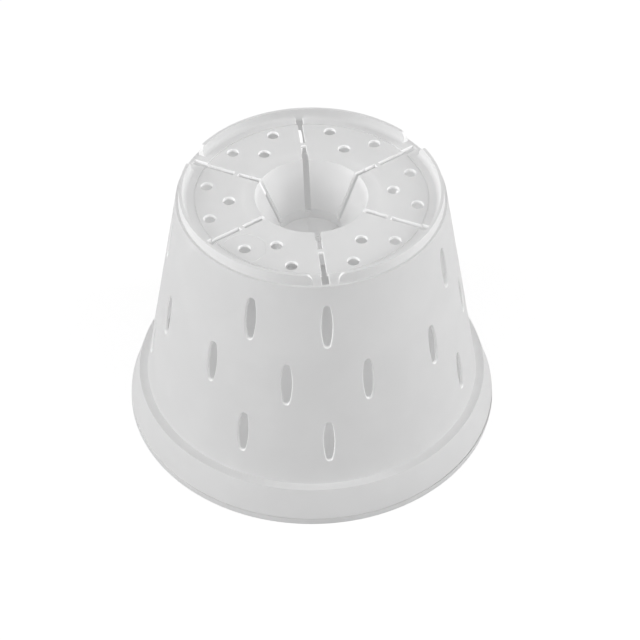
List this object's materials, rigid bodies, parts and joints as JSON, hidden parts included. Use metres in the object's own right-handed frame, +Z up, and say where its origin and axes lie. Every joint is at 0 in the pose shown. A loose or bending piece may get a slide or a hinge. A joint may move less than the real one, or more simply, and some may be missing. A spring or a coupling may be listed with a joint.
{
  "type": "slotted orchid pot",
  "caption": "Round tapered orchid pot, translucent, shown upside down, with a flared rim, slotted wall, drained footed base and centre air cone.",
  "frame": {"origin": "centre of the mouth plane, on which the upturned pot stands", "axes": "+Z up the pot's axis, from the mouth to the base; -Y towards one of the three gaps between the feet"},
  "size_m": [0.1406, 0.1406, 0.0988],
  "materials": {
    "frosted_polypropylene": "frosted, translucent, natural polypropylene"
  },
  "bodies": {
    "root": {"rim_lip": "frosted_polypropylene", "rim_skirt": "frosted_polypropylene", "side_wall": "frosted_polypropylene", "base_ring": "frosted_polypropylene", "foot_1": "frosted_polypropylene", "foot_2": "frosted_polypropylene", "foot_3": "frosted_polypropylene", "floor_panel": "frosted_polypropylene", "centre_cone": "frosted_polypropylene", "cone_cap": "frosted_polypropylene", "cap_ribs": "frosted_polypropylene"}
  },
  "joints": []
}
